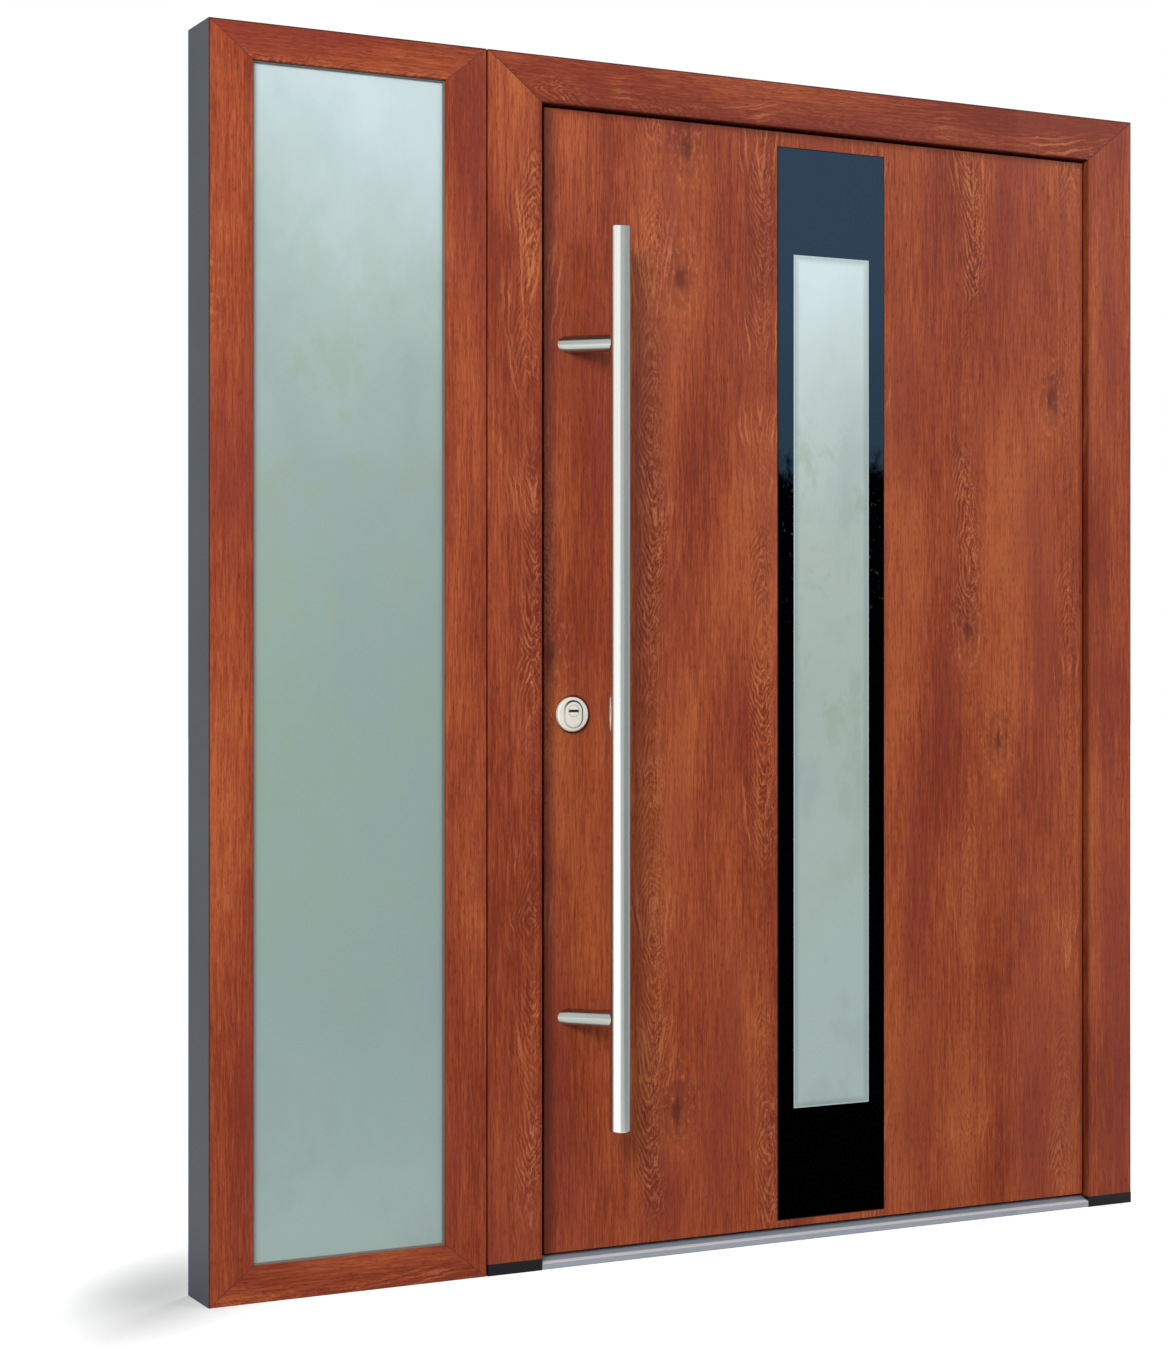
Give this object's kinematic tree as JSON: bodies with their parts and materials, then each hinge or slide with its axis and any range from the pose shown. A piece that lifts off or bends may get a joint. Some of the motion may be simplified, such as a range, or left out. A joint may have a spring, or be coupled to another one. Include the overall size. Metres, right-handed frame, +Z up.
{
  "type": "exterior door with fixed sidelight",
  "caption": "Flush entrance door in a mitred frame with a fixed frosted sidelight, a dark glass strip with a window and a long round pull bar.",
  "frame": {"origin": "on the underside of the threshold, at the middle of the whole unit's width and of the frame's depth", "axes": "+Z up along the height, +X to the right seen from outside, +Y from outside to inside, so the outside faces -Y"},
  "size_m": [1.88, 0.2394, 2.1],
  "materials": {
    "wood_foil": "satin reddish-brown oak-look foil on aluminium",
    "anthracite": "fine-textured anthracite powder coat",
    "dark_plastic": "matt",
    "aluminium": "satin anodised",
    "rubber": "matt",
    "frosted_glass": "sand-blasted",
    "clear_glass": "clear",
    "dark_glass": "black-enamelled, glossy",
    "stainless_steel": "fine brushed",
    "foam": "insulating foam"
  },
  "bodies": {
    "frame": {"coupling_strip": "dark_plastic", "head": "wood_foil", "hinge_jamb": "wood_foil", "jamb_feet": "dark_plastic", "lock_jamb": "wood_foil", "lower_hinge_frame_half": "anthracite", "middle_hinge_frame_half": "anthracite", "rebate_seal": "rubber", "sidelight_bottom_rail": "wood_foil", "sidelight_gasket": "rubber", "sidelight_inner_pane": "clear_glass", "sidelight_left_stile": "wood_foil", "sidelight_level_beads": "anthracite", "sidelight_outer_pane": "frosted_glass", "sidelight_right_stile": "wood_foil", "sidelight_spacer": "aluminium", "sidelight_top_rail": "wood_foil", "sidelight_upright_beads": "anthracite", "strike_plates": "stainless_steel", "threshold": "aluminium", "threshold_break": "dark_plastic", "upper_hinge_frame_half": "anthracite"},
    "leaf": {"bottom_seal": "rubber", "cylinder_guard": "stainless_steel", "inner_rose": "stainless_steel", "leaf_bottom_rail": "anthracite", "leaf_core": "foam", "leaf_hinge_stile": "anthracite", "leaf_inner_skin": "anthracite", "leaf_lock_stile": "anthracite", "leaf_outer_skin": "wood_foil", "leaf_top_rail": "anthracite", "lever": "stainless_steel", "lever_rose": "stainless_steel", "lock_bolts": "stainless_steel", "lock_cylinder": "stainless_steel", "lock_faceplate": "stainless_steel", "lower_hinge_leaf_half": "anthracite", "lower_pull_bracket": "stainless_steel", "middle_hinge_leaf_half": "anthracite", "outer_rose": "stainless_steel", "pull_bar": "stainless_steel", "strip_border": "dark_glass", "strip_inner_pane": "clear_glass", "strip_spacer": "aluminium", "strip_window_pane": "frosted_glass", "upper_hinge_leaf_half": "anthracite", "upper_pull_bracket": "stainless_steel", "window_inner_trim": "anthracite"},
    "key_disc": {"key_disc": "stainless_steel"}
  },
  "joints": [
    {"name": "leaf_hinge", "type": "hinge", "parent": "frame", "child": "leaf", "pos_m": [0.854, 0.068, 0], "axis": [0, 0, -1], "range_deg": [0, 110]},
    {"name": "key_turn", "type": "hinge", "parent": "leaf", "child": "key_disc", "pos_m": [-0.274, -0.05, 0.966], "axis": [0, 1, 0], "continuous": true}
  ]
}
